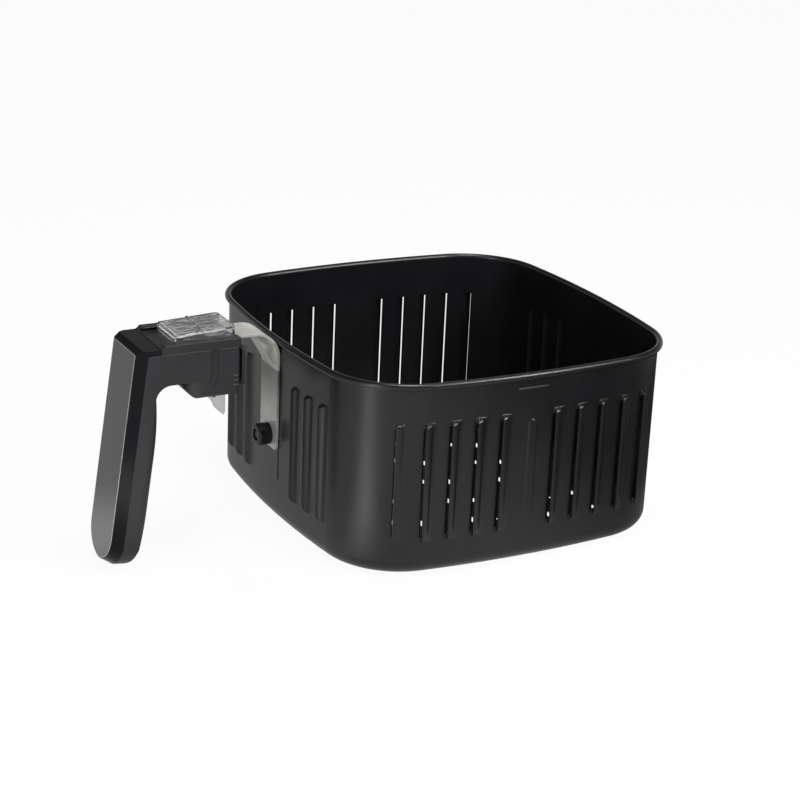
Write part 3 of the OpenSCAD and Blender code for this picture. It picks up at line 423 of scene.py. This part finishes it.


# %% [markdown]
# ## The button's spring
# A small compression spring under the button pushes it back up. It is coiled from round wire,
# four turns between its seat and the button's underside. The imported solid of it is rigid and
# would cut into the pressed button. It is hidden, and the spring is swept again here as a round
# tube along a helix that fills the same box, at its full length.

# %% Coil spring
def coil_spring(name, low, high, wire_radius, turns, steps_per_turn=24, sides=8):
    """A round wire on a helix that fills the box from low to high."""
    middle_x = (low[0] + high[0]) / 2
    middle_y = (low[1] + high[1]) / 2
    radius = (high[0] - low[0]) / 2 - wire_radius
    start = low[2] + wire_radius
    rise = high[2] - low[2] - 2 * wire_radius
    steps = turns * steps_per_turn
    coil = bmesh.new()
    rings = []
    for step in range(steps + 1):
        turn = 2 * math.pi * step / steps_per_turn
        height = start + rise * step / steps
        ring = []
        for side in range(sides):
            around = 2 * math.pi * side / sides
            reach = radius + wire_radius * math.cos(around)
            x = middle_x + reach * math.cos(turn)
            y = middle_y + reach * math.sin(turn)
            z = height + wire_radius * math.sin(around)
            ring.append(coil.verts.new((x, y, z)))
        rings.append(ring)
    close_tube(coil, rings, smooth=True)
    return new_object(name, coil)


SPRING_TURNS = 4
WIRE_RADIUS = 0.4 * MM
spring_low, spring_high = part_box("button_spring")
spring = coil_spring("button_coil", spring_low, spring_high, WIRE_RADIUS, SPRING_TURNS)
spring.data.materials.append(spring_wire)
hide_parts("button_spring")
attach(spring, "basket")
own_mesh(spring)

# %% [markdown]
# ## The rubber bumper
# A silicone plug keeps the basket off the wall of its pan. Moulded rubber is black with a soft
# sheen, and dust clings to it in fine specks. A lower specular level tells it from the coat
# beside it, which is about as black but shines harder.

# %% Moulded rubber
RUBBER_CLEAN = (0.006, 0.006, 0.0075)
RUBBER_DUSTY = (0.012, 0.012, 0.014)
rubber = new_finish("bumper_rubber", colour=(0.008, 0.008, 0.0095), roughness=0.36)
set_shader(rubber, "Specular IOR Level", 0.3)
dust = grain(rubber, per_mm=0.9, detail=4)
dusted = blend(rubber, spread(rubber, dust, low=0, high=1), RUBBER_CLEAN, RUBBER_DUSTY)
set_shader(rubber, "Base Color", dusted)
set_shader(rubber, "Roughness", spread(rubber, dust, low=0.28, high=0.42))
relief(rubber, dust, depth_mm=0.01, edge_mm=0.3)
dress(rubber, "bumper")

# %% [markdown]
# ## The handle's mouldings
# Housing, cover and end piece are injection moulded in charcoal plastic with a fine spark
# texture. The texture is etched into the mould, so it is even all over: tiny pits a quarter of
# a millimetre apart. Hands change only the gloss and the shade, slowly, over some centimetres.

# %% Charcoal plastic with a spark texture
CHARCOAL_DARK = (0.0110, 0.0110, 0.0130)
CHARCOAL_LIGHT = (0.0150, 0.0150, 0.0172)
charcoal = new_finish("handle_charcoal", colour=(0.0125, 0.0125, 0.0145), roughness=0.46)
pits = grain(charcoal, per_mm=4, detail=1)
touch = grain(charcoal, per_mm=0.06, detail=3)
shade = blend(charcoal, spread(charcoal, touch, low=0, high=1), CHARCOAL_DARK, CHARCOAL_LIGHT)
set_shader(charcoal, "Base Color", shade)
set_shader(charcoal, "Roughness", spread(charcoal, touch, low=0.42, high=0.52))
relief(charcoal, pits, depth_mm=0.02, edge_mm=0.9)
dress(charcoal, "handle_housing", "top_cover", "end_flange")

# %% [markdown]
# ## The grip's polished frame
# The frame round the grip's face comes from a polished mould, so it mirrors, with slight smears
# where it is held. Its specular level is low: a deep black gloss mirrors little face on, and
# this keeps the broad facet as dark as the rest of the handle.

# %% Gloss black frame
gloss = new_finish("bezel_gloss_black", colour=(0.006, 0.006, 0.0075), roughness=0.12)
set_shader(gloss, "Specular IOR Level", 0.14)
smear = grain(gloss, per_mm=0.12, detail=3)
set_shader(gloss, "Roughness", spread(gloss, smear, low=0.09, high=0.17))
relief(gloss, smear, depth_mm=0.01, edge_mm=0.4)
dress(gloss, "grip_bezel")

# %% [markdown]
# ## The button
# The button is moulded with a finish between satin and gloss, which hides finger marks and
# still looks smooth under the clear guard. A fine noise, three cells to a millimetre, gives it.

# %% Satin gloss button
button_black = new_finish("button_black", colour=(0.01, 0.01, 0.012), roughness=0.3)
fine = grain(button_black, per_mm=3, detail=1)
set_shader(button_black, "Roughness", spread(button_black, fine, low=0.26, high=0.36))
relief(button_black, fine, depth_mm=0.008, edge_mm=0.4)
dress(button_black, "release_button")

# %% [markdown]
# ## The plate in the grip's face
# A thin metal plate, dark titanium grey, brushed along the grip and clear coated. The coat gives
# a second, sharper reflection over the soft one of the brushed metal. Anisotropic gloss would be
# another way, but it needs tangents, and lines in the roughness do as well on so small a plate.

# %% Dark brushed plate
PLATE_DARK = (0.074, 0.071, 0.068)
PLATE_LIGHT = (0.098, 0.094, 0.091)
plate_grey = new_finish("inlay_dark_metal", colour=(0.086, 0.083, 0.080), roughness=0.28, metallic=1.0)
set_shader(plate_grey, "Coat Weight", 0.25)
set_shader(plate_grey, "Coat Roughness", 0.1)
lines = grain(plate_grey, per_mm=10, stretch=(1, 80, 80))
set_shader(plate_grey, "Roughness", spread(plate_grey, lines, low=0.22, high=0.32))
relief(plate_grey, lines, depth_mm=0.002, edge_mm=0.3)
dress(plate_grey, "grip_inlay")


# %% [markdown]
# ## The plate's painted rim highlight
# A narrow chamfer round the plate would catch a thin bright highlight. The chamfer would be a few
# faces in the solid, too narrow to be worth them, so its highlight is painted instead. It is found
# where the rounded normal departs from the flat one, which happens only within half a millimetre
# of an edge, and the colour there goes over to bright metal.

# %% Painted highlight where the edge is rounded
def measure(owner, operation, first, second):
    """A dot product or a distance of two vectors; each is fixed or a node's output."""
    step = add(owner, "ShaderNodeVectorMath")
    step.operation = operation
    feed(owner, first, step.inputs[0])
    feed(owner, second, step.inputs[1])
    return step.outputs["Value"]


RIM_WIDTH_MM = 0.55
RIM_SAMPLES = 8
RIM_HIGHLIGHT_COLOUR = (0.85, 0.84, 0.82)
ON_RIM = 0.93
OFF_RIM = 0.995
rounded = round_edges(plate_grey, RIM_WIDTH_MM, RIM_SAMPLES)
flat = add(plate_grey, "ShaderNodeNewGeometry").outputs["True Normal"]
agree = measure(plate_grey, "DOT_PRODUCT", rounded, flat)
# Painted highlight: a mask of the plate's edges, where the colour goes over to bright metal.
rim_highlight = ramp(plate_grey, agree, ON_RIM, OFF_RIM, at_start=1, at_end=0)
dark_plate = blend(plate_grey, spread(plate_grey, lines, low=0, high=1), PLATE_DARK, PLATE_LIGHT)
set_shader(plate_grey, "Base Color", blend(plate_grey, rim_highlight, dark_plate, RIM_HIGHLIGHT_COLOUR))
print("bright rim within", RIM_WIDTH_MM, "mm of the plate's edge")

# %% [markdown]
# ## The clear guard
# The sliding guard is polycarbonate. It is a real shell with two faces, so a glass shader bends
# light through both. Clear mouldings look bright at their edges, where light is piped along the
# wall, and their flats show a little of what is under them. Thumbs push it back and forth, which
# leaves fine scuffs along its way. They scatter light, so less goes through where they lie.

# %% Clear polycarbonate
POLYCARBONATE_IOR = 1.58
CLEAR = 1.0
SCUFFED = 0.45
SCUFF_START = 0.54
SCUFF_FULL = 0.72
clear = new_finish("guard_polycarbonate", colour=(0.97, 0.98, 0.985), roughness=0.04)
set_shader(clear, "IOR", POLYCARBONATE_IOR)
scuffs = grain(clear, per_mm=0.8, stretch=(1, 7, 1), detail=5)
set_shader(clear, "Transmission Weight", ramp(clear, scuffs, SCUFF_START, SCUFF_FULL, CLEAR, SCUFFED))
flow = grain(clear, per_mm=0.15)
set_shader(clear, "Roughness", spread(clear, flow, low=0.0, high=0.02))
relief(clear, flow, depth_mm=0.006, edge_mm=0.25)
dress(clear, "button_guard")


# %% [markdown]
# ## The floor
# The basket rests on the upper floor, and the grip hangs past that floor's edge, because it
# reaches a little lower than the basket, as it does in front of the pan. Two flat sheets would
# show a hard edge between them, so one sheet curves down from one level to the other. It lies
# a hair below the basket, so that the two surfaces don't fight for the same place.

# %% Stepped floor
FLOOR_GAP = 0.4 * MM
STEP_START = -120 * MM
STEP_END = -165 * MM
FLOOR_REACH = 5.0


def stepped_floor(name, low, rows=16):
    """A sheet just under z = 0 that curves down to the low level in front of the basket."""
    heights = [(FLOOR_REACH, 0.0)]
    for row in range(rows + 1):
        share = row / rows
        ease = share * share * (3 - 2 * share)
        heights.append((STEP_START + (STEP_END - STEP_START) * share, low * ease))
    heights.append((-FLOOR_REACH, low))
    sheet = bmesh.new()
    rows_of_points = []
    for y, z in heights:
        ends = [sheet.verts.new((x, y, z - FLOOR_GAP)) for x in (-FLOOR_REACH, FLOOR_REACH)]
        rows_of_points.append(ends)
    for first, second in zip(rows_of_points, rows_of_points[1:]):
        face = sheet.faces.new((first[0], second[0], second[1], first[1]))
        face.smooth = True
    return new_object(name, sheet)


lowest = cad_box[0][2]
floor = stepped_floor("floor", lowest)
floor_paint = new_finish("pale_floor", colour=(0.74, 0.74, 0.74), roughness=0.9)
set_shader(floor_paint, "Specular IOR Level", 0.0)
floor.data.materials.append(floor_paint)
print("floor from 0 down to", round(lowest, 4))


# %% [markdown]
# ## What the black walls mirror: cards and a strip
# A satin black shows its form only by what it mirrors, and most of what the basket's walls
# mirror is the floor. A studio lays grey cards and white strips on the table for that. Real
# cards would show beside the object, so they are drawn here as a strength of the floor that
# mirror rays alone will see: one card in front that fades beside the basket, one far behind,
# and a narrow strip in front that gives the round corner its long highlight.

# %% Cards and strip, by place
STRIP_NORMAL = (0.94, 0.34, 0.0)
STRIP_OFFSET = 56 * MM
STRIP_CORE = 8 * MM
STRIP_HALF = 52 * MM
STRIP_STRENGTH = 2.3
spot = point(floor_paint)
spot_x = along(floor_paint, spot, "X")
spot_y = along(floor_paint, spot, "Y")
front_card = combine(
    floor_paint, "MULTIPLY",
    ramp(floor_paint, spot_y, start=0.0, end=0.16, at_start=0.72, at_end=0.03),
    ramp(floor_paint, spot_x, start=-0.06, end=0.1, at_start=0.75, at_end=1.0))
rear_card = ramp(floor_paint, spot_y, start=0.36, end=0.55, at_start=0.0, at_end=0.6)
cards = combine(floor_paint, "ADD", front_card, rear_card)
across = measure(floor_paint, "DOT_PRODUCT", spot, STRIP_NORMAL)
aside = combine(floor_paint, "ABSOLUTE", combine(floor_paint, "SUBTRACT", across, STRIP_OFFSET), 0)
strip = combine(
    floor_paint, "MULTIPLY",
    ramp(floor_paint, aside, STRIP_CORE, STRIP_HALF, STRIP_STRENGTH, 0.0),
    ramp(floor_paint, spot_y, start=-0.2, end=-0.1, at_start=1.0, at_end=0.0))
print("strip is", round(2 * STRIP_HALF, 3), "m wide")


# %% [markdown]
# ## Two round pools of light
# Two places on the floor need a little more light than the cards give: one beside the grip,
# which the grip's side mirrors, and one near the broad wall's rear end. A studio would put a
# small reflector there. A soft round pool does it: full near its centre, gone at its edge.

# %% Pools of light
def pool(centre, edge, strength, core=20 * MM):
    """A soft round patch of strength about a centre on the floor."""
    away = measure(floor_paint, "DISTANCE", spot, centre)
    return ramp(floor_paint, away, core, edge, strength, 0.0)


grip_pool = pool(centre=(-0.05, -0.25, 0.0), edge=90 * MM, strength=0.5)
back_pool = pool(centre=(0.12, 0.22, 0.0), edge=120 * MM, strength=0.1)
pools = combine(floor_paint, "ADD", combine(floor_paint, "ADD", grip_pool, back_pool), strip)
mirrored = combine(floor_paint, "ADD", cards, pools)
print(floor_paint.name, "has", len(floor_paint.node_tree.nodes), "nodes")

# %% [markdown]
# ## White to the camera, cards to mirrors
# The background should be white, but more light would wash out the black object. So the floor
# glows by the kind of ray that meets it: nearly all white to the camera, with a little of the
# painted floor left to hold the object's shadow, white through clear plastic, and the cards to
# mirror rays. Light that falls on the floor still bounces off its plain grey paint.

# %% Which ray sees what
FLOOR_TO_CAMERA = 0.95
FLOOR_THROUGH_CLEAR = 0.8
rays = add(floor_paint, "ShaderNodeLightPath").outputs
to_camera = combine(floor_paint, "MULTIPLY", rays["Is Camera Ray"], FLOOR_TO_CAMERA)
through_clear = combine(floor_paint, "MULTIPLY", rays["Is Transmission Ray"], FLOOR_THROUGH_CLEAR)
seen = combine(floor_paint, "MAXIMUM", to_camera, rays["Is Glossy Ray"])
seen = combine(floor_paint, "MAXIMUM", seen, through_clear)
missing = combine(floor_paint, "SUBTRACT", 1.0, mirrored)
dimmed = combine(floor_paint, "MULTIPLY", rays["Is Glossy Ray"], missing)
glow = add(floor_paint, "ShaderNodeEmission")
feed(floor_paint, combine(floor_paint, "SUBTRACT", 1.0, dimmed), glow.inputs["Strength"])
mixer = add(floor_paint, "ShaderNodeMixShader")
paint_shader = floor_paint.node_tree.nodes["Principled BSDF"]
surface = floor_paint.node_tree.nodes["Material Output"].inputs["Surface"]
feed(floor_paint, seen, mixer.inputs["Fac"])
feed(floor_paint, paint_shader.outputs["BSDF"], mixer.inputs[1])
feed(floor_paint, glow.outputs["Emission"], mixer.inputs[2])
feed(floor_paint, mixer.outputs["Shader"], surface)
print("floor is white to the camera by", FLOOR_TO_CAMERA)

# %% [markdown]
# ## The room
# The room is white to the camera and through clear plastic. To mirrors it is a studio with
# white low walls that go over to a dark ceiling, and with one side dimmed, as a black cloth
# would dim it. A sky image would give richer mirror light, but it needs a file. As plain fill
# light the room is weak, and the lamps do the rest.

# %% World
DARK_SIDE = (0.6, 0.8, 0.0)
FILL = 0.28
room = bpy.data.worlds.new("white_studio")
room.use_nodes = True
room.node_tree.nodes.clear()
bpy.context.scene.world = room
look = point(room, "Generated")
lifted = ramp(room, along(room, look, "Z"), start=0.1, end=0.35, at_start=1.0, at_end=0.1)
towards_dark = measure(room, "DOT_PRODUCT", look, DARK_SIDE)
turned_away = ramp(room, towards_dark, start=0.3, end=0.8, at_start=1.0, at_end=0.2)
walls = combine(room, "MULTIPLY", lifted, turned_away)
rays = add(room, "ShaderNodeLightPath").outputs
clean = combine(room, "MAXIMUM", rays["Is Camera Ray"], rays["Is Transmission Ray"])
bright = combine(room, "MAXIMUM", clean, combine(room, "MULTIPLY", rays["Is Glossy Ray"], walls))
not_mirror = combine(room, "SUBTRACT", 1.0, rays["Is Glossy Ray"])
around = combine(room, "MULTIPLY", not_mirror, FILL)
background = add(room, "ShaderNodeBackground")
feed(room, combine(room, "MAXIMUM", bright, around), background.inputs["Strength"])
feed(room, background.outputs["Background"], add(room, "ShaderNodeOutputWorld").inputs["Surface"])
print(room.name, "has", len(room.node_tree.nodes), "nodes")


# %% [markdown]
# ## The lamps
# Large soft lamps suit a dark object: its shape is told by their long reflections. One hangs
# overhead, one tall cool strip stands in front of the handle, and a key stands high beside the
# broad wall. Their power is low, so a colour renders about as it is written.

# %% Three soft lamps
LAMP_AIM = (0, -0.04, 0.06)
COOL_WHITE = (0.9, 0.93, 1.0)


def soft_lamp(name, place, size, power, colour=(1, 1, 1)):
    """A rectangular lamp that faces the basket's middle."""
    data = bpy.data.lights.new(name, "AREA")
    data.shape = "RECTANGLE"
    data.size, data.size_y = size
    data.energy = power
    data.color = colour
    lamp = bpy.data.objects.new(name, data)
    lamp.location = place
    facing = Vector(LAMP_AIM) - Vector(place)
    lamp.rotation_euler = facing.to_track_quat("-Z", "Y").to_euler()
    bpy.context.scene.collection.objects.link(lamp)
    print("lamp", name, "at", place, "with", power, "W")


soft_lamp("overhead", place=(0.2, 0.02, 1.25), size=(0.4, 0.4), power=10)
soft_lamp("front_strip", place=(0.66, -1.15, 0.36), size=(0.26, 0.6), power=4, colour=COOL_WHITE)
soft_lamp("rear_key", place=(0.85, 0.51, 0.74), size=(0.3, 0.3), power=10)

# %% [markdown]
# ## The camera
# The camera stands a good metre away, in front of the handle and to the right, and looks down
# by about twenty degrees, through a lens long enough to keep the perspective mild. Its three
# angles are turned into right, up and back by hand, because an aim at a point has no roll.

# %% Camera
EYE = Vector((0.978, -0.5484, 0.4651))
YAW = math.radians(61.765)
PITCH = math.radians(20.0785)
ROLL = math.radians(2.5168)
IMAGE_PIXELS = 800
FOCAL_PIXELS = 2036.57
SENSOR = 36
back = Vector((math.sin(YAW) * math.cos(PITCH), -math.cos(YAW) * math.cos(PITCH), math.sin(PITCH)))
right = (-back).cross(Vector((0, 0, 1))).normalized()
up = right.cross(-back)
rolled_right = math.cos(ROLL) * right + math.sin(ROLL) * up
rolled_up = -math.sin(ROLL) * right + math.cos(ROLL) * up
camera = bpy.data.objects.new("camera", bpy.data.cameras.new("camera"))
camera.data.sensor_width = SENSOR
camera.data.lens = FOCAL_PIXELS / IMAGE_PIXELS * SENSOR
camera.matrix_world = Matrix((
    (rolled_right.x, rolled_up.x, back.x, EYE.x),
    (rolled_right.y, rolled_up.y, back.y, EYE.y),
    (rolled_right.z, rolled_up.z, back.z, EYE.z),
    (0, 0, 0, 1),
))
bpy.context.scene.collection.objects.link(camera)
bpy.context.scene.camera = camera
bpy.context.scene.view_settings.view_transform = "Standard"
print("lens", round(camera.data.lens, 2), "mm")
